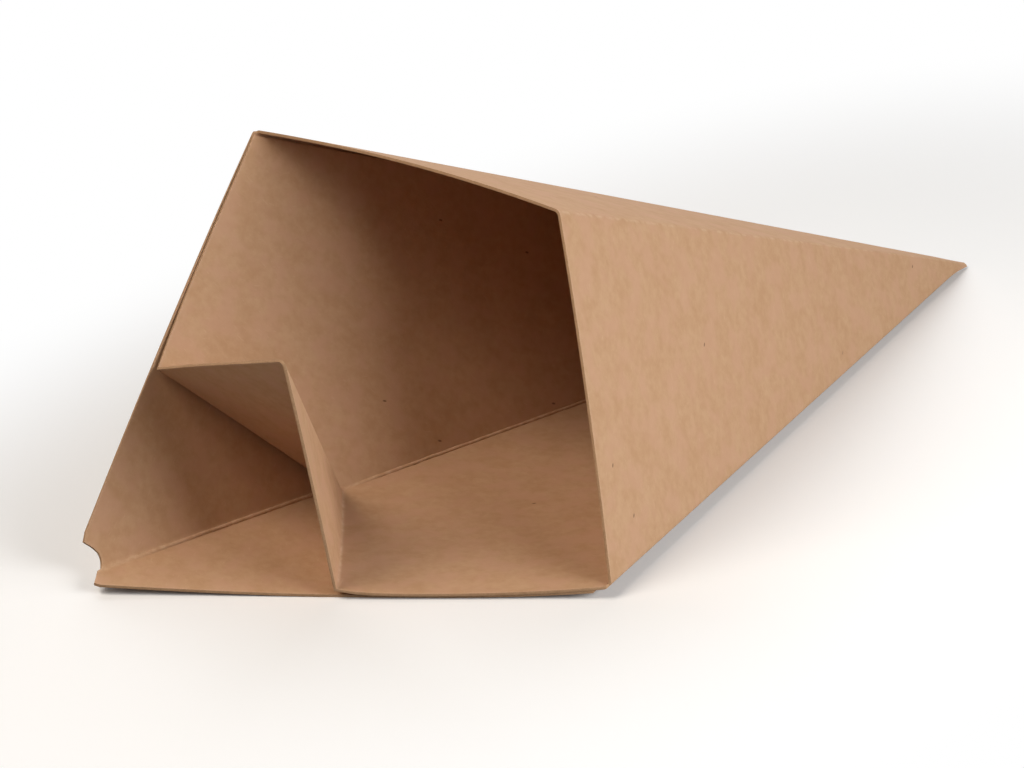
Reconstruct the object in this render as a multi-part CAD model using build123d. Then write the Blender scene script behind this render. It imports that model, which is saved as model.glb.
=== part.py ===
from build123d import *
import math
import os

# Paper fries cone with a dip pocket: one die-cut sheet of kraft board, folded and glued,
# lying on its side. Millimetres, +Z up, the open mouth faces -Y and the tip points to +Y.
# The origin is on the surface it lies on, under the middle of its box.

# Driving dimensions of the flat cut
board = 0.45              # thickness of the board
flat_width = 120.0        # across the mouth, fold to fold, when the cone is pressed flat
panel_angle = 21.5        # angle at the tip of each of the four panels
corner_angle = 45.0       # between the centre crease and the mouth edge on either side of it
pocket_side = 40.0        # the corner that pops in is a square of this side
pocket_corner_radius = 2.2    # that corner's own rounding
notch_left = 7.8          # corner notch in the outer layer, along the left panel's mouth edge
notch_bottom = 4.7        # the same notch, along the bottom panel's mouth edge
notch_radius = 2.5        # inner corner of the notch
seam_gap = 2.5            # a glued flap stops this far short of the fold it runs up to
tip_blunt = 1.2           # the point is snipped this far from where the folds would meet

# Driving dimensions of the erected shape
half_rise = 12.1          # angle between a soft crease and the cone's middle line
belly_bottom = 1.8        # rise of each panel's belly at its mouth edge
belly_left = 1.5
belly_top = 1.3
belly_right = 0.5
shoulder_crease = 10.0    # the bottom panel curves up this far beside the centre crease
shoulder_fold = 30.0      # and this far beside the side fold; between them it lies flat
resting_skim = 0.01       # taken off the strip it lies on, which makes it a true plane
side_fold_radius = 0.6    # outside radius of the two sharp folds, at the mouth
front_crease_radius = 1.8     # outside radius of the soft crease between top and right panels
centre_crease_radius = 1.9    # outside radius of the soft crease under the pocket
bead_radius = 0.7         # raised bead that the scoring rule leaves inside the centre crease


def unit_toward(start, end):
    return (end - start).normalized()


def solve_three(n1, a, n2, b, n3, c):
    """The vector whose products with three normals are a, b and c."""
    volume = n1.dot(n2.cross(n3))
    return (n2.cross(n3) * a + n3.cross(n1) * b + n1.cross(n2) * c) / volume


def direction(side, up):
    """Unit direction from the tip, leaning sideways and up by angles from the middle line."""
    return Vector(math.cos(side) * math.cos(up), math.sin(side), math.cos(side) * math.sin(up))


# Corners of the sheet, seen from the tip: the middle line runs along +X,
# the side folds lean to -Y and +Y, and the two soft creases lean to +Z and -Z.
alpha = math.radians(panel_angle)
beta = math.radians(corner_angle)
crease_lean = math.radians(half_rise)
fold_lean = math.acos(math.cos(alpha) / math.cos(crease_lean))
fold_length = flat_width / 2 / math.sin(alpha)
centre_length = fold_length * math.sin(alpha + beta) / math.sin(beta)
front_length = fold_length * math.cos(alpha)
back_edge = fold_length * math.sin(alpha) / math.sin(beta)

tip = Vector(0, 0, 0)
fold_a = direction(-fold_lean, 0) * fold_length
fold_c = direction(fold_lean, 0) * fold_length
front_b = direction(0, crease_lean) * front_length
corner_n = direction(0, -crease_lean) * centre_length

# Inward normals of the flat panels
normal_left = corner_n.cross(fold_a).normalized() * -1
normal_bottom = fold_c.cross(corner_n).normalized() * -1
normal_top = fold_a.cross(front_b).normalized() * -1
normal_right = front_b.cross(fold_c).normalized() * -1

far = centre_length * 1.1     # every cone below runs from the tip to here before it is trimmed


def at_far(corner):
    """Where the ray from the tip through a corner crosses the far section, as (y, z)."""
    return Vector(corner.Y, corner.Z) * (far / corner.X)


def outward(start, end):
    """In the far section, the unit vector out of the cone across one side."""
    run = end - start
    across = Vector(run.Y, -run.X).normalized()
    middle = (start + end) * 0.5
    return across if across.dot(middle) > 0 else across * -1


def bellied_side(start, end, belly, mouth_edge):
    """One arc that bulges out by the panel's belly."""
    chord = (end - start).length
    middle = (start + end) * 0.5 + outward(start, end) * (belly * chord / mouth_edge)
    return [ThreePointArc(start, middle, end)]


def resting_side(start, end, belly, mouth_edge):
    """The bottom panel: flat where it lies on the table, with an arc up to each corner."""
    chord = (end - start).length
    drop = outward(start, end) * (belly * chord / mouth_edge)
    first = start + (end - start) * (shoulder_crease / mouth_edge) + drop
    second = end - (end - start) * (shoulder_fold / mouth_edge) + drop
    return [
        TangentArc(first, start, tangent=start - end),
        Line(first, second),
        TangentArc(second, end, tangent=end - start),
    ]


def near(face, corner):
    return face.vertices().sort_by_distance(corner)[0]


def cone(fold_r, front_r, centre_r, bead=False):
    """The filled cone with its corners rounded by radii that are given at the mouth."""
    a, b, c, n = at_far(fold_a), at_far(front_b), at_far(fold_c), at_far(corner_n)
    sides = (
        resting_side(n, c, belly_bottom, back_edge)
        + bellied_side(c, b, belly_right, flat_width / 2)
        + bellied_side(b, a, belly_top, flat_width / 2)
        + bellied_side(a, n, belly_left, back_edge)
    )
    face = make_face(sides)
    for corner, at_mouth, radius in (
        (a, fold_a, fold_r),
        (c, fold_c, fold_r),
        (b, front_b, front_r),
        (n, corner_n, centre_r),
    ):
        if radius > 0:
            face = fillet(near(face, corner), radius * far / at_mouth.X)
    if bead:
        face -= Pos(n.X, n.Y) * Circle(bead_radius * far / corner_n.X)
    wide_end = Plane.YZ.offset(far) * face
    narrow_end = Plane.YZ.offset(tip_blunt) * scale(face, by=tip_blunt / far)
    return loft([wide_end, narrow_end], ruled=True)


def inset(solid, left, bottom, top):
    """Move a cone so that three of its panels shift inwards by the given amounts."""
    return Pos(*solve_three(normal_left, left, normal_bottom, bottom, normal_top, top)) * solid


def side_of(plane):
    """Everything within reach on the normal side of a plane."""
    reach = 3 * centre_length
    return plane * Box(reach, reach, reach, align=(Align.CENTER, Align.CENTER, Align.MIN))


def ahead_of(start, end, normal):
    """In one panel's quarter of the space, what lies in front of its mouth edge."""
    out_y = Align.MAX if start.Y + end.Y < 0 else Align.MIN
    out_z = Align.MAX if start.Z + end.Z < 0 else Align.MIN
    reach = 2 * far
    quarter = Box(reach, reach, reach, align=(Align.MIN, out_y, out_z))
    edge = unit_toward(start, end)
    forward = edge.cross(normal)
    if forward.dot(start) < 0:
        forward = forward * -1
    return quarter & side_of(Plane(origin=start, x_dir=edge, z_dir=forward))


def mouth_cut():
    """What lies in front of the mouth, cut square to each panel."""
    back = ahead_of(fold_a, corner_n, normal_left) + ahead_of(corner_n, fold_c, normal_bottom)
    front = ahead_of(fold_c, front_b, normal_right) + ahead_of(front_b, fold_a, normal_top)
    return back + front


def fold_plane():
    """The plane through both pocket folds: its normal points to the centre corner."""
    left_end = corner_n + unit_toward(corner_n, fold_a) * pocket_side
    bottom_end = corner_n + unit_toward(corner_n, fold_c) * pocket_side
    pocket_point = corner_n * (1 - pocket_side * math.sqrt(2) / centre_length)
    normal = (left_end - pocket_point).cross(bottom_end - pocket_point).normalized()
    if normal.dot(corner_n - pocket_point) < 0:
        normal = normal * -1
    return Plane(origin=pocket_point, x_dir=unit_toward(left_end, bottom_end), z_dir=normal)


def seam_plane(fold_corner, panel_normal):
    """Square to a panel, parallel to its side fold and one seam gap short of it."""
    along = unit_toward(tip, fold_corner)
    inward = panel_normal.cross(along)
    if inward.dot(corner_n - fold_corner) < 0:
        inward = inward * -1
    return Plane(origin=fold_corner + inward * seam_gap, x_dir=along, z_dir=inward)


def notch_tool(edge_end, along_edge, into_panel):
    """One panel's part of the corner notch, cut square through the board."""
    edge = unit_toward(corner_n, edge_end)
    square = edge.cross(unit_toward(corner_n, tip)).normalized()
    lay = Plane(origin=corner_n, x_dir=edge, z_dir=square)
    margin = notch_left
    outline = Rectangle(along_edge + margin, into_panel + margin, align=Align.MIN)
    outline = fillet(near(outline, (along_edge + margin, into_panel + margin)), notch_radius)
    return extrude(lay * Pos(-margin, -margin) * outline, amount=3 * board, both=True)


def corner_rounder():
    """What the rounding takes off the popped-in corner, before it is popped in.

    The ball is slightly larger than the radius: it crosses the mouth edges instead of touching them.
    """
    to_corner = unit_toward(tip, corner_n)
    tangent_line = corner_n - to_corner * (pocket_corner_radius / math.sqrt(2))
    size = 4 * pocket_corner_radius
    beyond = Box(size, size, size, align=(Align.CENTER, Align.CENTER, Align.MIN))
    ball = Pos(0, 0, -pocket_corner_radius / math.sqrt(2)) * Sphere(pocket_corner_radius + 0.06)
    return Plane(origin=tangent_line, x_dir=(0, 1, 0), z_dir=to_corner) * (beyond - ball)


def folded_sheet():
    outside = cone(side_fold_radius, front_crease_radius, centre_crease_radius)
    one_layer_in = cone(0, front_crease_radius - board, centre_crease_radius - board, bead=True)
    two_layers_in = cone(0, 0, centre_crease_radius - 2 * board, bead=True)
    middle_of_board = cone(0, 0, centre_crease_radius - board)

    cavity = inset(one_layer_in, board, board, board)
    inner_cavity = inset(two_layers_in, 2 * board, 2 * board, 0.7 * board)
    core = inset(middle_of_board, board / 2, board / 2, board / 2)

    mouth = mouth_cut()
    pocket_folds = fold_plane()
    corner_side = side_of(pocket_folds)

    # The outer layer all round, and the inner layer glued inside the left and bottom panels
    outer_layer = outside - cavity
    inner_layer = (core & side_of(seam_plane(fold_a, normal_left))) - inner_cavity - corner_side
    wrap = outer_layer + inner_layer - mouth

    # The inner layer's corner is popped in: its mirror image in the plane of its two folds
    loose_corner = ((cavity - inner_cavity) & corner_side) - mouth
    partition = loose_corner.mirror(pocket_folds)

    # The outer layer of the bottom panel ends a little short of the side fold
    seam = seam_plane(fold_c, normal_bottom)
    short_side = side_of(Plane(origin=seam.origin, x_dir=seam.x_dir, z_dir=seam.z_dir * -1))
    around = inset(outside, -board, -board, -board)
    lifted = solve_three(normal_bottom, board, normal_left, -0.3 * board, normal_right, -0.3 * board)
    seam_step = (around - Pos(*lifted) * outside) & short_side

    sheet = wrap - seam_step
    sheet -= notch_tool(fold_a, notch_left, notch_bottom)
    sheet -= notch_tool(fold_c, notch_bottom, notch_left)
    return sheet + partition - corner_rounder().mirror(pocket_folds)


def laid_down(sheet):
    """Turn the sheet so that the bottom panel lies on the table with the mouth facing -Y."""
    span = at_far(fold_c) - at_far(corner_n)
    middle = (at_far(fold_c) + at_far(corner_n)) * 0.5
    out = outward(at_far(corner_n), at_far(fold_c))
    lowest = middle + out * (belly_bottom * span.length / back_edge)
    along = Vector(far, lowest.X, lowest.Y).normalized()
    across = Vector(0, span.X, span.Y).normalized()
    up = along.cross(across).normalized()
    if up.dot(Vector(0, out.X, out.Y)) > 0:
        up = up * -1
    panel = Plane(origin=tip, x_dir=along, z_dir=up)
    table = Plane(origin=(0, 0, 0), x_dir=(0, -1, 0), z_dir=(0, 0, 1))
    laid = table.location * panel.location.inverse() * sheet
    box = laid.bounding_box()
    seated = Pos(-box.center().X, -box.center().Y, -box.min.Z - resting_skim) * laid
    return seated & side_of(Plane.XY)


os.makedirs("parts", exist_ok=True)
export_step(laid_down(folded_sheet()), "parts/folded_sheet.step")
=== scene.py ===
import math

import bpy
import numpy as np
from mathutils import Matrix, Vector, noise


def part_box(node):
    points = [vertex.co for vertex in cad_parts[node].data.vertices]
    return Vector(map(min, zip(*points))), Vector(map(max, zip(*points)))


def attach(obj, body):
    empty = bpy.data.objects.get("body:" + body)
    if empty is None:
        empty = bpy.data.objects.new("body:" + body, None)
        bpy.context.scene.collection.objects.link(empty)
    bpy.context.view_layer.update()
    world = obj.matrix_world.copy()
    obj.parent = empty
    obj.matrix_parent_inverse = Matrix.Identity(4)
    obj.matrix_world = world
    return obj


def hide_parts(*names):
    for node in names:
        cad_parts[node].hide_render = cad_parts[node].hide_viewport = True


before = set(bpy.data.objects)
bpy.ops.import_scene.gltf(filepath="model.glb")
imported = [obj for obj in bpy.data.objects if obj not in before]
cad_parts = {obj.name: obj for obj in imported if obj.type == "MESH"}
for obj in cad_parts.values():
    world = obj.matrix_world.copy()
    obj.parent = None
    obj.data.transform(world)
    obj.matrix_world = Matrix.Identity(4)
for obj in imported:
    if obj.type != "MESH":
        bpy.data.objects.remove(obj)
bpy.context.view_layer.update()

MM = 0.001

# Lengths of the cone are in millimetres until the mesh is made.
# The cone's own axes: the tip is at the origin, the middle line runs along +X, the side folds A
# and C lean to -Y and +Y, the front crease B to +Z and the centre crease N to -Z.

# The flat cut
BOARD = 0.45
LAYER_GAP = 0.03          # between the two layers of a glued panel
THINS_FROM = 6.1          # the layers are pressed thinner within this distance of the tip
FLAT_WIDTH = 120.0
PANEL_ANGLE = 21.5
CORNER_ANGLE = 45.0
POCKET_LEFT = 37.7        # from the popped-in corner to its fold, along the left panel's mouth edge
POCKET_BOTTOM = 38.3      # the same, along the bottom panel's
POCKET_DEPTH = 54.3       # and along the crease
INNER_CREASE_TURN = 0.74  # the inner layer's crease is scored this much nearer to the right panel
NOTCH_LEFT = 7.8
NOTCH_BOTTOM = 4.7
NOTCH_RADIUS = 2.5
POCKET_CORNER_RADIUS = 2.2
FLAP_GAP = 0.8            # the inner flap stops this far short of the fold it runs up to
SEAM_GAP = 2.5            # and the outer one this far
TIP_BLUNT = 2.4
PINCH_LENGTH = 9.0        # over these last millimetres the tip is pressed flat
PINCH = 0.22              # to this share of its height
MOUTH_INSET = 0.16        # the frayed mouth edge stays this far inside the cone's box
NICK_FROM_FOLD = 15.2     # the die leaves a nub here on the top panel's mouth edge
NICK_WIDTH = 0.7
NICK_HEIGHT = 0.22
FRAY = 0.045              # the cut edge's pulp stands out this far
FRAY_UNEVEN = 0.05        # and this much more or less
FRAY_FREQUENCY = 2.3

# The erected shape
HALF_RISE = 12.1
BELLY_LEFT = 1.5
BELLY_TOP = 1.3
BELLY_RIGHT = 0.5
RISE_AT_CREASE = 1.8      # the bottom panel's mouth edge lifts this much at the centre crease
BEND_FROM_CREASE = 0.42   # it lies flat from here, as a share of its width
BEND_TO_FOLD = 0.55       # and curves up again from here to the side fold
INNER_HUG = 1.05          # the inner layer of the left panel bulges this much more than its plane
SIDE_FOLD_RADIUS = 0.5    # radii of the middle of the board
FRONT_CREASE_RADIUS = 1.6
CENTRE_CREASE_RADIUS = 1.7
INNER_CREASE_RADIUS = 1.3
TIGHTEST_RADIUS = 0.3
WIDEST_BEND = 0.3         # a bend takes up no more than this share of a panel
WIDEST_GAP = 0.6          # and a flap's gap no more than this
POCKET_TUCK = 1.1         # the pocket's folds start to bend this far before the fold line
POCKET_TUCK_SHARE = 0.35  # but never further than this share of the flap
SPRING_LIFT = 0.95        # the pocket's bottom fold stands this far off the outer layer, at the mouth
SPRING_LIFT_LEFT = 0.2    # and the left one this far
SPRING_LENGTH = 38.0      # from the pocket's point to the mouth
SPRING_REACH = 2.4        # the lift dies away over this distance from the fold

# The line that the scoring rule leaves inside the centre creases
BEAD_HEIGHT = 0.24
BEAD_WIDTH = 0.19
BEAD_WANDER = 0.10
BEAD_WANDER_LENGTH = 3.2
BEAD_UNEVEN = 0.55
BEAD_UNEVEN_LENGTH = 1.9
GROOVE_DEPTH = 0.13
GROOVE_PLACE = 1.6        # beside the bead's middle, in bead widths
GROOVE_WIDTH = 0.5        # in bead widths
SCORE_END_POCKET = 2.0    # the line ends this far before the pocket's point
SCORE_FADE_POCKET = 5.0   # and fades over this length
SCORE_END_NOTCH = 11.0    # the same before the notch
SCORE_FADE_NOTCH = 9.0
SCORE_FADE_TIP = 40.0

# Where the board's finish changes across a bend, as shares of the bend: the worn fold, and the
# painted shade in the groove beside the scored bead
WORN_AT = 0.46
WORN_WIDTH = 0.20
GROOVE_SHADE_AT = 0.70
GROOVE_SHADE_WIDTH = 0.07
WORN_FOLD_WIDTH = 0.3     # the same, across the pocket's folds


def unit(v):
    return v / np.linalg.norm(v)


def direction(side, up):
    flat = math.cos(side)
    return np.array([flat * math.cos(up), math.sin(side), flat * math.sin(up)])


alpha = math.radians(PANEL_ANGLE)
beta = math.radians(CORNER_ANGLE)
crease_lean = math.radians(HALF_RISE)
fold_lean = math.acos(math.cos(alpha) / math.cos(crease_lean))
fold_length = FLAT_WIDTH / 2 / math.sin(alpha)
centre_length = fold_length * math.sin(alpha + beta) / math.sin(beta)
front_length = fold_length * math.cos(alpha)

fold_a = direction(-fold_lean, 0) * fold_length
fold_c = direction(fold_lean, 0) * fold_length
front_b = direction(0, crease_lean) * front_length
corner_n = direction(0, -crease_lean) * centre_length


class Panel:
    """One flat triangle of the cut between two folds, with its belly."""

    def __init__(self, start, end, belly):
        self.start = start
        self.end = end
        self.belly = belly
        self.edge = unit(end - start)
        self.width = np.linalg.norm(end - start)
        normal = unit(np.cross(start, end))
        self.inward = normal if normal[0] > 0 else -normal
        forward = unit(np.cross(self.edge, self.inward))
        self.forward = forward if forward.dot(start) > 0 else -forward

    def behind_mouth(self, point):
        """How far a point lies behind the panel's mouth edge."""
        return (self.start - point) @ self.forward


def arched(belly):
    return lambda share: belly * 4 * share * (1 - share)


def resting(share):
    """The bottom panel's drop below its corners: it lies on the table in between."""
    to_crease = np.clip(1 - share / BEND_FROM_CREASE, 0, 1)
    to_fold = np.clip((share - BEND_TO_FOLD) / (1 - BEND_TO_FOLD), 0, 1)
    return RISE_AT_CREASE * (1 - to_crease ** 1.5 - to_fold ** 2.2)


def hugging(share):
    return BELLY_LEFT * 4 * share * (1 - share) + INNER_HUG * (4 * share * (1 - share)) ** 2


left = Panel(fold_a, corner_n, arched(BELLY_LEFT))
bottom = Panel(corner_n, fold_c, resting)
right = Panel(fold_c, front_b, arched(BELLY_RIGHT))
top = Panel(front_b, fold_a, arched(BELLY_TOP))

# The inner layer's corner, turned about the tip within the bottom panel
toward_c = unit(np.cross(bottom.inward, corner_n))
toward_c *= np.sign(toward_c @ fold_c)
crease_turn = math.radians(INNER_CREASE_TURN)
inner_corner = corner_n * math.cos(crease_turn) + toward_c * centre_length * math.sin(crease_turn)
inner_left = Panel(fold_a, inner_corner, hugging)
inner_bottom = Panel(inner_corner, fold_c, resting)


def board_share(x):
    """The layers are pinched thin in the last millimetres before the tip."""
    return np.clip(x / THINS_FROM, 0.02, 1)


class Side:
    """One panel's width of the strip, at its depth below the outside."""

    def __init__(self, panel, layer, spacing):
        self.panel = panel
        self.depth = BOARD / 2 + layer * (BOARD + LAYER_GAP)
        self.spacing = spacing

    def line(self, x):
        """The line that the side lies on in the section x from the tip: normal and offset."""
        n = self.panel.inward
        return n[1], n[2], self.depth * board_share(x) - n[0] * x


def crossing(one, other, x):
    """Where two sides' lines meet in the section x."""
    a1, b1, c1 = one.line(x)
    a2, b2, c2 = other.line(x)
    det = a1 * b2 - a2 * b1
    return np.stack([(c1 * b2 - c2 * b1) / det, (a1 * c2 - a2 * c1) / det], -1)


def spread(count, crowd_start=0.0, crowd_end=0.0):
    """Shares from 0 to 1 that crowd together at either end."""
    t = np.linspace(0, 1, count)
    eased = t - (crowd_start * (t - t ** 2) * (1 - t) - crowd_end * (t - t ** 2) * t)
    return (eased - eased[0]) / (eased[-1] - eased[0])


INNER, OUTER = 1, 0
strip = [
    Side(inner_left, INNER, spread(34, 0, 0.85)),
    Side(inner_bottom, INNER, spread(34, 0.85, 0)),
    Side(right, OUTER, spread(20)),
    Side(top, OUTER, spread(30, 0, 0.5)),
    Side(left, OUTER, spread(34, 0, 0.9)),
    Side(bottom, OUTER, spread(34, 0.9, 0)),
]
INNER_LEFT, INNER_BOTTOM, RIGHT, TOP = range(4)
start_neighbour = Side(top, OUTER, None)
end_neighbour = Side(right, OUTER, None)
bend_radius = [INNER_CREASE_RADIUS, SIDE_FOLD_RADIUS, FRONT_CREASE_RADIUS, SIDE_FOLD_RADIUS,
               CENTRE_CREASE_RADIUS]
bend_steps = [21, 9, 11, 9, 23]
softens_to_tip = [True, False, True, False, True]
has_bead = [True, False, False, False, True]


class Section:
    """The strip's run round the cone in sections x from the tip, x being an array."""

    def __init__(self, x):
        self.x = x
        sides = [start_neighbour] + strip + [end_neighbour]
        self.corners = [crossing(a, b, x) for a, b in zip(sides, sides[1:])]
        pairs = zip(self.corners, self.corners[1:])
        self.widths = [np.linalg.norm(b - a, axis=-1) for a, b in pairs]
        turns = [self.turn(i) for i in range(len(bend_radius))]
        self.reach = []
        for radius, soft, turn, wide in zip(bend_radius, softens_to_tip, turns, self.widths):
            r = radius * x / centre_length if soft else radius + 0 * x
            reach = np.maximum(r, TIGHTEST_RADIUS) * np.tan(turn / 2)
            self.reach.append(np.minimum(reach, WIDEST_BEND * wide))

    def turn(self, i):
        """The angle that the strip turns through between sides i and i + 1."""
        a, b, c = self.corners[i:i + 3]
        one, two = b - a, c - b
        dot = (one * two).sum(-1) / np.linalg.norm(one, axis=-1) / np.linalg.norm(two, axis=-1)
        return np.arccos(np.clip(dot, -1, 1))

    def on_side(self, i, share):
        """A point on side i at a share of its width, out on its belly."""
        a, b = self.corners[i], self.corners[i + 1]
        panel = strip[i].panel
        out = -unit(panel.inward[1:])
        scale = self.widths[i] / panel.width
        return a + (b - a) * share[:, None] + out * (panel.belly(share) * scale)[:, None]

    def ends(self, i):
        """The shares between which side i runs: a glued flap stops short of its fold."""
        first = FLAP_GAP if i == 0 else self.reach[i - 1]
        last = SEAM_GAP if i == len(strip) - 1 else self.reach[i]
        wide = self.widths[i]
        return np.minimum(first / wide, WIDEST_GAP), 1 - np.minimum(last / wide, WIDEST_GAP)

    def side_point(self, i, u):
        first, last = self.ends(i)
        return self.on_side(i, first + (last - first) * u)

    def bend_point(self, i, u):
        """A point on the rounded bend between sides i and i + 1."""
        last = self.ends(i)[1]
        first = self.ends(i + 1)[0]
        step = 1e-3
        q0, q2 = self.on_side(i, last), self.on_side(i + 1, first)
        t0 = q0 - self.on_side(i, last - step)
        t2 = self.on_side(i + 1, first + step) - q2
        det = t0[:, 0] * t2[:, 1] - t0[:, 1] * t2[:, 0]
        gap = q2 - q0
        along = (gap[:, 0] * t2[:, 1] - gap[:, 1] * t2[:, 0]) / det
        q1 = q0 + t0 * along[:, None]
        cos_half = np.cos(self.turn(i) / 2)
        w0, w1, w2 = (1 - u) ** 2, 2 * u * (1 - u) * cos_half, u * u
        point = (w0 * q0 + w1[:, None] * q1 + w2 * q2) / (w0 + w1 + w2)[:, None]
        if has_bead[i]:
            point = point + self.bead(i, u, q0, q1, q2)
        return point

    def bead(self, i, u, q0, q1, q2):
        """The raised line that the scoring rule leaves in a crease, and the sunk channel beside it.
        """
        into = q0 + q2 - 2 * q1
        into /= np.linalg.norm(into, axis=-1)[:, None]
        run = np.linalg.norm(q2 - q0, axis=-1) * 1.1
        wander = [noise.noise((v / BEAD_WANDER_LENGTH, 7.0 + i, 0)) for v in self.x]
        uneven = [noise.noise((v / BEAD_UNEVEN_LENGTH, 3.0 + i, 5)) for v in self.x]
        across = (u - 0.5) * run - BEAD_WANDER * np.array(wander)
        tall = 1 + BEAD_UNEVEN * np.array(uneven)
        beside = (across - GROOVE_PLACE * BEAD_WIDTH) / (GROOVE_WIDTH * BEAD_WIDTH)
        raised = BEAD_HEIGHT * np.exp(-(across / BEAD_WIDTH) ** 2)
        sunk = GROOVE_DEPTH * np.exp(-beside ** 2)
        return into * ((raised - sunk) * tall * score_strength(i, self.x))[:, None]


def score_strength(i, x):
    """How far the scored line shows: it fades before the notch, the pocket's point and the tip."""
    along = x / math.cos(crease_lean)
    end, length = centre_length - SCORE_END_NOTCH, SCORE_FADE_NOTCH
    if i == INNER_LEFT:
        end, length = centre_length - POCKET_DEPTH - SCORE_END_POCKET, SCORE_FADE_POCKET
    fade = np.clip((end - along) / length, 0, 1)
    return fade * fade * (3 - 2 * fade) * np.clip(along / SCORE_FADE_TIP, 0, 1)


def inner_offset():
    """From the inner layer's ideal crease to the crease of the board's middle."""
    depth = strip[INNER_LEFT].depth
    planes = np.array([inner_left.inward, inner_bottom.inward, unit(inner_corner)])
    return np.linalg.solve(planes, [depth, depth, 0])


def fold_plane():
    """The plane through both pocket folds: origin and normal towards the corner."""
    depth = strip[INNER_LEFT].depth
    corner = inner_corner + inner_offset()
    left_end = corner + unit(fold_a + inner_left.inward * depth - corner) * POCKET_LEFT
    bottom_end = corner + unit(fold_c + inner_bottom.inward * depth - corner) * POCKET_BOTTOM
    point = corner - unit(inner_corner) * POCKET_DEPTH
    normal = unit(np.cross(left_end - point, bottom_end - point))
    return point, normal if normal @ (corner - point) > 0 else -normal


pocket_point, pocket_normal = fold_plane()


def beyond_folds(point):
    return (point - pocket_point) @ pocket_normal


class Column:
    """One lengthwise line of the strip, from the tip to the mouth."""

    def __init__(self, index, u, bend):
        self.index = index
        self.u = u
        self.bend = bend
        near_side = index if not bend or u < 0.5 else index + 1
        self.side = strip[near_side]
        self.at_centre = near_side not in (RIGHT, TOP)
        self.inner = self.side.depth > BOARD
        self.in_pocket = False

    def points(self, x):
        x = np.atleast_1d(np.asarray(x, float))
        section = Section(x)
        place = section.bend_point if self.bend else section.side_point
        return np.column_stack([x, place(self.index, self.u)])

    def from_corner(self, point):
        """Distances along the left and the bottom mouth edges from the centre corner."""
        panel = self.side.panel
        if panel in (left, inner_left):
            return (panel.end - point) @ panel.edge, panel.behind_mouth(point)
        return panel.behind_mouth(point), (point - panel.start) @ panel.edge

    def past_cut(self, point):
        """Above 0 where the die has cut the board away."""
        if not self.at_centre:
            nick = 0.0
            if self.side.panel is top:
                along = np.linalg.norm(fold_a - point) - NICK_FROM_FOLD
                nick = NICK_HEIGHT * math.exp(-(along / NICK_WIDTH * 2) ** 4)
            return -self.side.panel.behind_mouth(point) - nick
        a, b = self.from_corner(point)
        if self.inner:
            r = POCKET_CORNER_RADIUS
            return math.hypot(max(r - a, 0), max(r - b, 0)) - r
        r = NOTCH_RADIUS
        in_notch = r - math.hypot(max(a - NOTCH_LEFT + r, 0), max(b - NOTCH_BOTTOM + r, 0))
        return max(-min(a, b), in_notch)

    def where(self, test, low=2.0, high=centre_length * 1.15):
        """The distance from the tip at which a test of the column's points turns positive."""
        for _ in range(34):
            middle = (low + high) / 2
            if test(self.points(middle)[0]) > 0:
                high = middle
            else:
                low = middle
        return (low + high) / 2

    def mouth(self):
        return self.where(self.past_cut)

    def fold(self):
        return self.where(beyond_folds)


def pocket_limit(index):
    """The share at which a side's line meets the mouth edge and the pocket's fold at once."""
    low, high = 0.0, 1.0
    rising = index == INNER_BOTTOM
    for _ in range(30):
        middle = (low + high) / 2
        column = Column(index, middle, False)
        outside = beyond_folds(column.points(column.mouth())[0]) < 0
        if outside == rising:
            high = middle
        else:
            low = middle
    return (low + high) / 2


def with_share(shares, value):
    """The shares with the nearest one moved to a value that a line has to pass."""
    shares = shares.copy()
    nearest = 1 + np.abs(shares[1:-1] - value).argmin()
    below = shares < shares[nearest]
    old = shares[nearest]
    shares[below] *= value / old
    above = shares > old
    shares[above] = 1 - (1 - shares[above]) * (1 - value) / (1 - old)
    shares[nearest] = value
    return shares, nearest


def lay_columns():
    """All lines of the strip in order. Those between the pocket folds' ends run on past them."""
    columns, pocket = [], []
    for i, side in enumerate(strip):
        shares = side.spacing
        if i in (INNER_LEFT, INNER_BOTTOM):
            shares, nearest = with_share(shares, pocket_limit(i))
            pocket.append(len(columns) + nearest)
        columns += [Column(i, u, False) for u in shares]
        if i < len(strip) - 1:
            inside = np.linspace(0, 1, bend_steps[i])[1:-1]
            columns += [Column(i, u, True) for u in inside]
    for column in columns[pocket[0] + 1:pocket[1]]:
        column.in_pocket = True
    return columns


ROWS = 150                # along a line from the tip to its fold or its mouth edge
FLAP_ROWS = 34            # along the flap beyond a pocket fold
FOLD_ROWS = 6             # round a pocket fold
SHARP_ANGLE = 48          # edges at least this sharp stay crisp
OTHER_FACE = 500.0        # the outside's pulp is read this far along, so the faces differ


def lengthwise(count):
    """Shares from the tip to the mouth, closer together towards the mouth and at the very tip."""
    t = np.linspace(0, 1, count)
    return 0.75 * t + 0.25 * (1 - (1 - t) ** 2) - 0.02 * np.sin(math.pi * t)


def mirrored(points):
    return points - 2 * ((points - pocket_point) @ pocket_normal)[:, None] * pocket_normal


def spring(column, points, base):
    """The pocket's folds push the inner layer off the outer one, most at the mouth."""
    most = SPRING_LIFT if column.side.panel is inner_bottom else SPRING_LIFT_LEFT
    away = np.abs(beyond_folds(base))
    from_point = np.linalg.norm(base - pocket_point, axis=1) / SPRING_LENGTH
    lift = most * np.clip(from_point, 0, 1) ** 4 * np.exp(-away / SPRING_REACH)
    return points + column.side.panel.inward * lift[:, None]


def pinched(points):
    """The tip pressed flat, so that it is closed."""
    share = np.clip((points[:, 0] - TIP_BLUNT) / PINCH_LENGTH, 0, 1)
    squash = PINCH + (1 - PINCH) * share * (2 - share)
    return np.column_stack([points[:, :2], points[:, 2] * squash])


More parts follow.
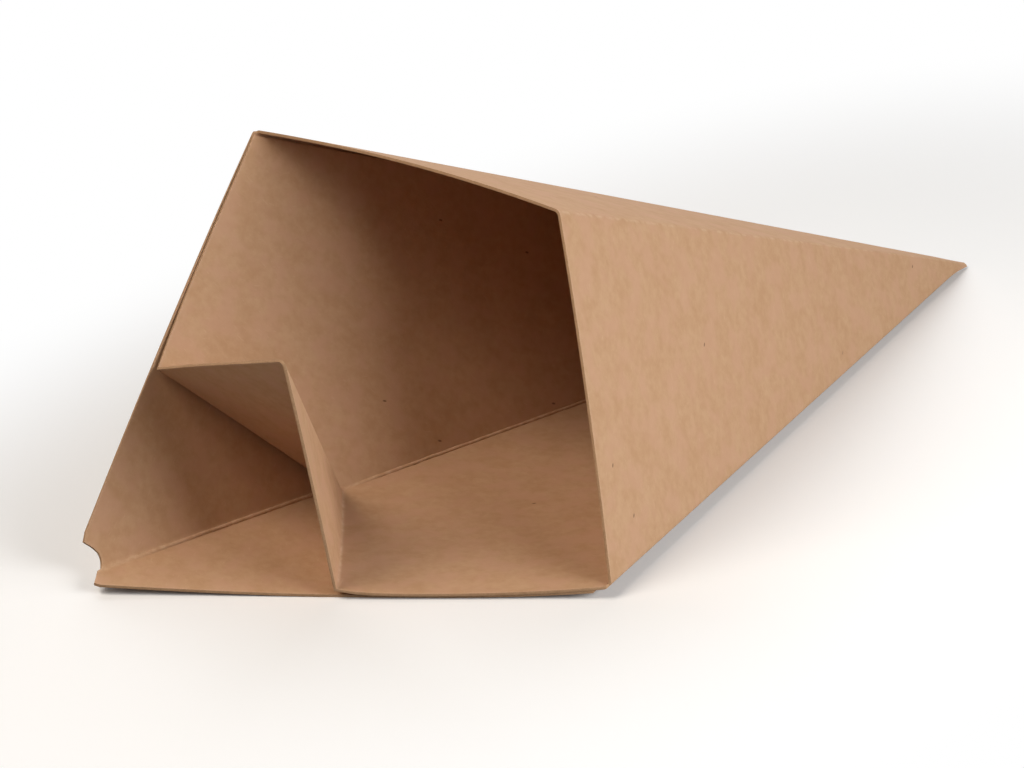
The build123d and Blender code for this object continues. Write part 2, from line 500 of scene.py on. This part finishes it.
class Line:
    """A column's points, with what the board's finish needs to know about each of them."""

    def __init__(self, column):
        self.column = column
        mouth_x = column.mouth()
        flap = column.in_pocket
        fold_x = column.fold() if flap else mouth_x
        tuck = min(POCKET_TUCK, POCKET_TUCK_SHARE * (mouth_x - fold_x))
        x = TIP_BLUNT + (fold_x - tuck - TIP_BLUNT) * lengthwise(ROWS)
        base = column.points(x)
        points = base
        at_fold = np.zeros(len(x))
        if flap:
            folded, folded_base = round_fold(column, fold_x, tuck)
            beyond = column.points(np.linspace(fold_x + tuck, mouth_x, FLAP_ROWS + 1)[1:])
            points = np.vstack([base, folded, mirrored(beyond)])
            base = np.vstack([base, folded_base, beyond])
            t = np.linspace(0, 1, FOLD_ROWS + 1)[1:]
            worn = np.exp(-((t - 0.5) / WORN_FOLD_WIDTH) ** 2)
            at_fold = np.concatenate([at_fold, worn, np.zeros(FLAP_ROWS)])
        self.points = pinched(spring(column, points, base) if column.inner else points)
        self.base = base
        at_bend = math.exp(-((column.u - WORN_AT) / WORN_WIDTH) ** 2) if column.bend else 0.0
        self.wear = np.maximum(at_fold, at_bend)
        self.groove_shade = 0 * self.wear
        # painted shade: a dark line goes along the groove beside the scored bead, where shade falls
        if column.bend and has_bead[column.index]:
            beside = math.exp(-((column.u - GROOVE_SHADE_AT) / GROOVE_SHADE_WIDTH) ** 2)
            self.groove_shade = beside * score_strength(column.index, base[:, 0])
            self.groove_shade[ROWS:] = 0
        self.to_cut = np.array([-column.past_cut(p) for p in base])


def round_fold(column, fold_x, tuck):
    """The stretch of a line that bends over a pocket fold, and where it lay before."""
    q0 = column.points(fold_x - tuck)[0]
    q1 = column.points(fold_x)[0]
    beyond = column.points(fold_x + tuck)
    q2 = mirrored(beyond)[0]
    t = np.linspace(0, 1, FOLD_ROWS + 1)[1:, None]
    return (1 - t) ** 2 * q0 + 2 * t * (1 - t) * q1 + t ** 2 * q2, q0 + t * (beyond[0] - q0)


def blank_angles(lines):
    """Each line's angle in the flat cut, added up from the tip's angles between lines."""
    at = [line.column.points(100.0)[0] for line in lines]
    steps = [math.acos(min(1.0, unit(a) @ unit(b))) for a, b in zip(at, at[1:])]
    return np.concatenate([[0], np.cumsum(steps)])


class Sheet:
    """The middle of the board as one surface: points, quads and the flat cut's coordinates."""

    def __init__(self):
        lines = [Line(column) for column in lay_columns()]
        counts = [len(line.points) for line in lines]
        starts = np.concatenate([[0], np.cumsum(counts)[:-1]])
        rows = [list(range(start, start + count)) for start, count in zip(starts, counts)]
        self.points = np.vstack([line.points for line in lines])
        self.wear = np.concatenate([line.wear for line in lines])
        self.groove_shade = np.concatenate([line.groove_shade for line in lines])
        self.to_cut = np.maximum(np.concatenate([line.to_cut for line in lines]), 0)
        angles = np.repeat(blank_angles(lines), counts)
        far = np.linalg.norm(np.vstack([line.base for line in lines]), axis=1)
        self.blank = np.column_stack([far * np.cos(angles), far * np.sin(angles)])
        pairs = zip(rows, rows[1:])
        self.quads = np.array([quad for one, two in pairs for quad in self.weave(one, two)])
        self.inward = self.normals()

    @staticmethod
    def weave(one, two):
        """The quads between two lines. A line that ends earlier holds on to its last point."""
        count = max(len(one), len(two))
        one = one + [one[-1]] * (count - len(one))
        two = two + [two[-1]] * (count - len(two))
        return [(one[i], one[i + 1], two[i + 1], two[i]) for i in range(count - 1)]

    def normals(self):
        """Unit normals towards the inside of the cone, weighted by area."""
        a, b, c, d = (self.points[self.quads[:, k]] for k in range(4))
        crossed = np.cross(c - a, d - b)
        total = np.zeros_like(self.points)
        for k in range(4):
            np.add.at(total, self.quads[:, k], crossed)
        total /= np.maximum(np.linalg.norm(total, axis=1), 1e-12)[:, None]
        return total if total[ROWS // 2] @ left.inward > 0 else -total

    def rim(self):
        """The edges that only one quad has, each in that quad's direction."""
        seen = {}
        for quad in self.quads.tolist():
            loop = [p for i, p in enumerate(quad) if p != quad[i - 1]]
            for a, b in zip(loop, loop[1:] + loop[:1]):
                if seen.pop((b, a), None) is None:
                    seen[(a, b)] = True
        return list(seen)


def on_table(points):
    """From the cone's own axes to the frame's: on its bottom panel, mouth towards -Y."""
    span = fold_c / fold_c[0] - corner_n / corner_n[0]
    out = -unit(bottom.inward[1:])
    drop = RISE_AT_CREASE * np.linalg.norm(span) / bottom.width
    lowest = (fold_c / fold_c[0] + corner_n / corner_n[0]) / 2
    lowest[1:] += out * drop
    along = unit(lowest)
    up = unit(np.cross(along, unit(span)))
    up = up if up[1:] @ out < 0 else -up
    return np.column_stack([points @ np.cross(-along, up), -(points @ along), points @ up])


def sheet_object(name, sheet):
    """The board with both faces and its cut edges, in metres and in its place in the frame."""
    half = (BOARD / 2 * board_share(np.linalg.norm(sheet.points, axis=1)))[:, None]
    inside = sheet.points + sheet.inward * half
    outside = sheet.points - sheet.inward * half
    rim = sheet.rim()
    ends = sorted({p for edge in rim for p in edge})
    order = {p: i for i, p in enumerate(ends)}
    away = np.zeros((len(ends), 3))
    for a, b in rim:
        out = np.cross(sheet.points[b] - sheet.points[a], sheet.inward[a])
        out /= max(np.linalg.norm(out), 1e-9)
        away[order[a]] += out
        away[order[b]] += out
    away /= np.maximum(np.linalg.norm(away, axis=1), 1e-9)[:, None]
    uneven = [noise.noise(Vector(sheet.points[p]) * FRAY_FREQUENCY) for p in ends]
    fray = FRAY + FRAY_UNEVEN * np.array(uneven)
    edge_middle = sheet.points[ends] + away * fray[:, None]

    count = len(sheet.points)
    corners = np.vstack([inside, outside, edge_middle])
    flat = on_table(corners)
    low, high = (np.array(v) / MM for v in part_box("folded_sheet"))
    flat += (low + high) / 2 - (flat.min(0) + flat.max(0)) / 2
    flat[:, 1] += low[1] + MOUTH_INSET - flat[:, 1].min()
    flat[:, 2] -= flat[:, 2].min()

    faces, is_cut = [], []
    for a, b, c, d in sheet.quads.tolist():
        loop = [p for i, p in enumerate((a, b, c, d)) if p != (a, b, c, d)[i - 1]]
        if len(loop) < 3:
            continue
        p, q, r = (sheet.points[k] for k in loop[:3])
        inner_first = np.cross(q - p, r - q) @ sheet.inward[loop[0]] > 0
        faces.append(loop if inner_first else loop[::-1])
        faces.append([k + count for k in (loop[::-1] if inner_first else loop)])
        is_cut += [False, False]
    for a, b in rim:
        middle_a, middle_b = 2 * count + order[a], 2 * count + order[b]
        faces.append([a, middle_a, middle_b, b])
        faces.append([middle_a, a + count, b + count, middle_b])
        is_cut += [True, True]

    mesh = bpy.data.meshes.new(name)
    mesh.from_pydata((flat * MM).tolist(), [], faces)
    mesh.polygons.foreach_set("material_index", np.array(is_cut, np.int32))
    mesh.polygons.foreach_set("use_smooth", np.ones(len(faces), bool))
    blank = np.vstack([sheet.blank, sheet.blank + OTHER_FACE, sheet.blank[ends]]) * MM
    corner_points = np.zeros(len(mesh.loops), np.int32)
    mesh.loops.foreach_get("vertex_index", corner_points)
    layer = mesh.uv_layers.new(name="flat_cut")
    layer.uv.foreach_set("vector", blank[corner_points].astype(np.float32).ravel())
    # the last of these carries the painted shade beside the scored bead to the material
    known = {"crease_wear": sheet.wear, "groove_shade": sheet.groove_shade, "to_cut": sheet.to_cut}
    for label, values in known.items():
        attribute = mesh.attributes.new(label, "FLOAT", "POINT")
        everywhere = np.concatenate([values, values, values[ends]])
        attribute.data.foreach_set("value", everywhere.astype(np.float32))
    mesh.validate()
    mesh.update()
    mesh.set_sharp_from_angle(angle=math.radians(SHARP_ANGLE))
    made = bpy.data.objects.new(name, mesh)
    bpy.context.scene.collection.objects.link(made)
    return made


class Value:
    """A node's output that can be used in arithmetic."""

    def __init__(self, shader, socket):
        self.shader = shader
        self.socket = socket

    def beside(self, name):
        """Another output of the same node."""
        return Value(self.shader, self.socket.node.outputs[name])

    def maths(self, operation, other, swapped=False):
        pair = (other, self) if swapped else (self, other)
        return self.shader.node("ShaderNodeMath", dict(operation=operation), *pair)

    def __add__(self, other):
        return self.maths("ADD", other)

    def __radd__(self, other):
        return self.maths("ADD", other, True)

    def __sub__(self, other):
        return self.maths("SUBTRACT", other)

    def __rsub__(self, other):
        return self.maths("SUBTRACT", other, True)

    def __mul__(self, other):
        return self.maths("MULTIPLY", other)

    def __rmul__(self, other):
        return self.maths("MULTIPLY", other, True)


class Shader:
    """The nodes of a material, or of the studio's air, under construction."""

    def __init__(self, owner):
        self.owner = owner
        owner.use_nodes = True
        self.tree = owner.node_tree
        self.tree.nodes.clear()

    def plug(self, socket, value):
        if isinstance(value, Value):
            self.tree.links.new(value.socket, socket)
        else:
            socket.default_value = value

    def node(self, kind, settings=None, *sockets, output=0, **named):
        """Any node: its settings go in first, then its sockets' values or links."""
        made = self.tree.nodes.new(kind)
        for key, value in (settings or {}).items():
            setattr(made, key, value)
        for index, value in enumerate(sockets):
            self.plug(made.inputs[index], value)
        for key, value in named.items():
            self.plug(made.inputs[key.replace("_", " ")], value)
        return Value(self, made.outputs[output])

    def colour_mix(self, factor, one, two):
        mixed = self.node("ShaderNodeMix", dict(data_type="RGBA"), output=2)
        inputs = mixed.socket.node.inputs
        for index, value in ((0, factor), (6, one), (7, two)):
            self.plug(inputs[index], value)
        return mixed

    def smooth(self, value, low, high):
        """0 below low, 1 above high, eased in between."""
        settings = dict(interpolation_type="SMOOTHSTEP")
        return self.node("ShaderNodeMapRange", settings, Value=value, From_Min=low, From_Max=high)

    def turned(self, place, turn, scale=(1, 1, 1)):
        return self.node("ShaderNodeMapping", dict(vector_type="POINT"), Vector=place,
                         Rotation=(0, 0, turn), Scale=scale)

    def noise(self, place, scale, detail=2.0, roughness=0.5, distortion=0.0):
        return self.node("ShaderNodeTexNoise", None, Vector=place, Scale=scale, Detail=detail,
                         Roughness=roughness, Distortion=distortion)

    def known(self, name):
        """What the mesh knows about each of its points."""
        return self.node("ShaderNodeAttribute", dict(attribute_name=name), output=2)

    def seen_itself(self):
        """1 where the thing is looked at, also in a mirror or through glass, 0 where it lights."""
        rays = self.node("ShaderNodeLightPath", output="Is Camera Ray")
        return rays + rays.beside("Is Glossy Ray") + rays.beside("Is Transmission Ray")

    def finish(self, surface, kind="ShaderNodeOutputMaterial"):
        out = self.tree.nodes.new(kind)
        self.plug(out.inputs["Surface"], surface)
        return self.owner


KRAFT_PALE = (0.575, 0.357, 0.210, 1)
KRAFT = (0.535, 0.320, 0.179, 1)
KRAFT_DARK = (0.490, 0.280, 0.149, 1)
FIBRE_PALE = (0.76, 0.56, 0.39, 1)
# the dark fibres' colour, which is also painted as shade in the groove beside the scored bead
DARK_FIBRE_AND_GROOVE_SHADE = (0.36, 0.20, 0.10, 1)
FLECK = (0.15, 0.08, 0.04, 1)
KRAFT_ROSY = (0.570, 0.330, 0.208, 1)
CUT_EDGE = (0.520, 0.322, 0.185, 1)
CUT_EDGE_DARK = (0.400, 0.235, 0.128, 1)
PULP_FLOW = math.radians(-154.5)      # the pulp flowed along the right panel's mouth edge


def streaks(shader, place, turn, length, width, detail=2.0):
    """Noise that is drawn out along one direction of the flat cut."""
    turned = shader.turned(place, turn)
    drawn = shader.node("ShaderNodeVectorMath", dict(operation="MULTIPLY"), turned,
                        (1 / length, 1 / width, 1))
    return shader.noise(drawn, 1.0, detail, 0.55, 0.4)


def fibres(shader, place, turn, length, width, low):
    """Where short fibres lie that run along one direction."""
    return shader.smooth(streaks(shader, place, turn, length, width), low, low + 0.13)


def flecks(shader, place):
    """A few dark specks of bark, each in its own cell of the flat cut."""
    stretched = shader.turned(place, 0.9, (1, 2.2, 1))
    away = shader.node("ShaderNodeTexVoronoi", dict(voronoi_dimensions="2D", feature="F1"),
                       Vector=stretched, Scale=62.0)
    lot = shader.node("ShaderNodeSeparateColor", None, away.beside("Color"))
    return (1 - shader.smooth(away, 0.012, 0.032)) * shader.smooth(lot, 0.88, 0.90)


def kraft_material():
    """Uncoated brown board: cloudy pulp in faint streaks, short fibres, dark flecks, worn folds, and
    painted shade in the groove beside the scored bead.
    """
    shader = Shader(bpy.data.materials.new("kraft_board"))
    place = shader.node("ShaderNodeUVMap", dict(uv_map="flat_cut"))
    cloud = shader.noise(place, 130.0, 3.0, 0.55, 0.2)
    flow = streaks(shader, place, PULP_FLOW, 0.0052, 0.0030, 3.0)
    blush = shader.noise(place, 210.0, 2.0, 0.5)
    pulp = shader.noise(place, 620.0, 3.0, 0.6)
    grain = shader.noise(place, 2600.0, 2.0, 0.6)
    pale = fibres(shader, place, PULP_FLOW + 0.15, 0.0019, 0.00030, 0.63)
    pale = pale.maths("MAXIMUM", fibres(shader, place, PULP_FLOW - 0.5, 0.0016, 0.00028, 0.65))
    dark = fibres(shader, place, PULP_FLOW + 0.7, 0.0015, 0.00026, 0.65)

    tone = (cloud - 0.5) * 0.45 + (flow - 0.5) * 0.45 + (pulp - 0.5) * 0.75 + (grain - 0.5) * 0.15
    colour = shader.colour_mix(shader.smooth(tone, -0.28, 0.28), KRAFT_DARK, KRAFT_PALE)
    colour = shader.colour_mix(0.20, colour, KRAFT)
    colour = shader.colour_mix(shader.smooth(blush, 0.42, 0.66) * 0.6, colour, KRAFT_ROSY)
    colour = shader.colour_mix(pale * 0.16, colour, FIBRE_PALE)
    colour = shader.colour_mix(dark * 0.14, colour, DARK_FIBRE_AND_GROOVE_SHADE)
    colour = shader.colour_mix(flecks(shader, place) * 0.8, colour, FLECK)

    wear, groove_shade, to_cut = (shader.known(name) for name in ("crease_wear", "groove_shade", "to_cut"))
    broken = wear * shader.smooth(pulp, 0.35, 0.7)
    colour = shader.colour_mix(broken * 0.30, colour, FIBRE_PALE)
    # painted shade: the groove beside the scored bead is darkened in colour
    colour = shader.colour_mix(groove_shade * (0.35 + pulp * 0.6), colour, DARK_FIBRE_AND_GROOVE_SHADE)
    scuffed = (1 - shader.smooth(to_cut, 0.0, 0.6)) * shader.smooth(grain, 0.3, 0.7)
    colour = shader.colour_mix(scuffed * 0.25, colour, FIBRE_PALE)

    relief = (grain - 0.5) * 0.4 + (pulp - 0.5) * 0.7 + (flow - 0.5) * 0.25 + (cloud - 0.5)
    height = relief + pale * 0.2
    bump = shader.node("ShaderNodeBump", None, Strength=0.30, Distance=0.00012, Height=height)
    rough = 0.80 + (pulp - 0.5) * 0.16 + wear * 0.05
    board = shader.node("ShaderNodeBsdfPrincipled", None, Base_Color=colour, Roughness=rough,
                        IOR=1.45, Specular_IOR_Level=0.30, Normal=bump)
    return shader.finish(board)


def cut_edge_material():
    """The torn pulp of a die-cut edge: rougher, a little darker and without a skin."""
    shader = Shader(bpy.data.materials.new("kraft_cut_edge"))
    place = shader.node("ShaderNodeTexCoord", output="Object")
    ply = shader.noise(place, 3200.0, 3.0, 0.65)
    clump = shader.noise(place, 700.0, 2.0, 0.5)
    tone = (ply - 0.5) * 0.7 + (clump - 0.5) * 0.5
    colour = shader.colour_mix(shader.smooth(tone, -0.3, 0.3), CUT_EDGE_DARK, CUT_EDGE)
    bump = shader.node("ShaderNodeBump", None, Strength=0.6, Distance=0.0001, Height=tone)
    edge = shader.node("ShaderNodeBsdfPrincipled", None, Base_Color=colour, Roughness=0.92,
                       Specular_IOR_Level=0.15, Normal=bump)
    return shader.finish(edge)


WHITE = (1, 1, 1, 1)
TABLE_BOUNCE = (0.30, 0.30, 0.30, 1)
TABLE_REACH = 4.0
TABLE_DROP = 0.00002                  # below the cone, so that they don't touch
AROUND_CONE = (0.05, 0.11)            # half the width and the length of an oval round the cone
SHADOW_KEPT = 1.1                     # the table shows its light and shadow within so many ovals
WHITE_BEYOND = 2.3                    # and is plain white beyond so many
AIR_STRENGTH = 0.02


def table_material():
    """White studio table. It bounces little light, and is seen pure white away from the cone."""
    shader = Shader(bpy.data.materials.new("white_table"))
    bounce = shader.node("ShaderNodeBsdfDiffuse", None, Color=TABLE_BOUNCE)
    lit = shader.node("ShaderNodeBsdfDiffuse", None, Color=WHITE)
    white = shader.node("ShaderNodeEmission", None, Color=WHITE, Strength=1.0)
    place = shader.node("ShaderNodeTexCoord", output="Object")
    ovals = shader.node("ShaderNodeVectorMath", dict(operation="MULTIPLY"), place,
                        (1 / AROUND_CONE[0], 1 / AROUND_CONE[1], 0))
    far = shader.node("ShaderNodeVectorMath", dict(operation="LENGTH"), ovals, output="Value")
    veil = shader.smooth(far, SHADOW_KEPT, WHITE_BEYOND)
    veiled = shader.node("ShaderNodeMixShader", None, veil, lit, white)
    mixed = shader.node("ShaderNodeMixShader", None, shader.seen_itself(), bounce, veiled)
    return shader.finish(mixed)


def add_table():
    mesh = bpy.data.meshes.new("studio_table")
    corners = [(x * TABLE_REACH, y * TABLE_REACH, -TABLE_DROP)
               for x, y in ((-1, -1), (1, -1), (1, 1), (-1, 1))]
    mesh.from_pydata(corners, [], [(0, 1, 2, 3)])
    table = bpy.data.objects.new("studio_table", mesh)
    bpy.context.scene.collection.objects.link(table)
    table.data.materials.append(table_material())


# The lamps: place and size in metres, power in watts, colour
SOFTBOXES = {
    "right_softbox": ((0.411, 0.0, 0.183), (0.36, 0.20), 1.80, (1, 1, 1)),
    "front_softbox": ((-0.25, -0.45, 0.613), (0.45, 0.45), 3.7, (1, 0.90, 0.79)),
    "back_softbox": ((-0.68, 0.55, 0.62), (0.80, 0.80), 5.4, (0.94, 1, 1.06)),
}


def add_softbox(name, place, size, power, colour):
    """A lamp that is aimed at the frame's origin."""
    light = bpy.data.lights.new(name, "AREA")
    light.shape = "RECTANGLE"
    light.size, light.size_y = size
    light.energy = power
    light.color = colour
    made = bpy.data.objects.new(name, light)
    made.location = place
    made.rotation_euler = (-Vector(place)).to_track_quat("-Z", "Y").to_euler()
    bpy.context.scene.collection.objects.link(made)


def add_air():
    """Faint light from all round, which is seen as a white backdrop."""
    shader = Shader(bpy.data.worlds.new("studio_air"))
    air = shader.node("ShaderNodeBackground", None, Color=WHITE, Strength=AIR_STRENGTH)
    backdrop = shader.node("ShaderNodeBackground", None, Color=WHITE, Strength=1.0)
    mixed = shader.node("ShaderNodeMixShader", None, shader.seen_itself(), air, backdrop)
    bpy.context.scene.world = shader.finish(mixed, "ShaderNodeOutputWorld")


CAMERA_PLACE = (0.36398, -0.51759, 0.26231)
CAMERA_TURN = 36.562
CAMERA_PITCH = -21.961
CAMERA_ROLL = -0.571
FOCAL_PIXELS = 4019.5
IMAGE_WIDTH = 1024
SENSOR = 36.0


def add_camera():
    data = bpy.data.cameras.new("camera")
    data.sensor_fit = "HORIZONTAL"
    data.sensor_width = SENSOR
    data.lens = FOCAL_PIXELS / IMAGE_WIDTH * SENSOR
    data.clip_start = 0.01
    data.clip_end = 50
    camera = bpy.data.objects.new("camera", data)
    turn = Matrix.Rotation(math.radians(CAMERA_TURN), 4, "Z")
    tilt = Matrix.Rotation(math.radians(90 + CAMERA_PITCH), 4, "X")
    roll = Matrix.Rotation(math.radians(CAMERA_ROLL), 4, "Z")
    camera.matrix_world = Matrix.Translation(CAMERA_PLACE) @ turn @ tilt @ roll
    bpy.context.scene.collection.objects.link(camera)
    bpy.context.scene.camera = camera


sheet = Sheet()
cone = sheet_object("folded_kraft_sheet", sheet)
cone.data.materials.append(kraft_material())
cone.data.materials.append(cut_edge_material())
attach(cone, "root")
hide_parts("folded_sheet")

add_table()
add_air()
for name, lamp in SOFTBOXES.items():
    add_softbox(name, *lamp)
add_camera()

bpy.context.scene.view_settings.view_transform = "Standard"
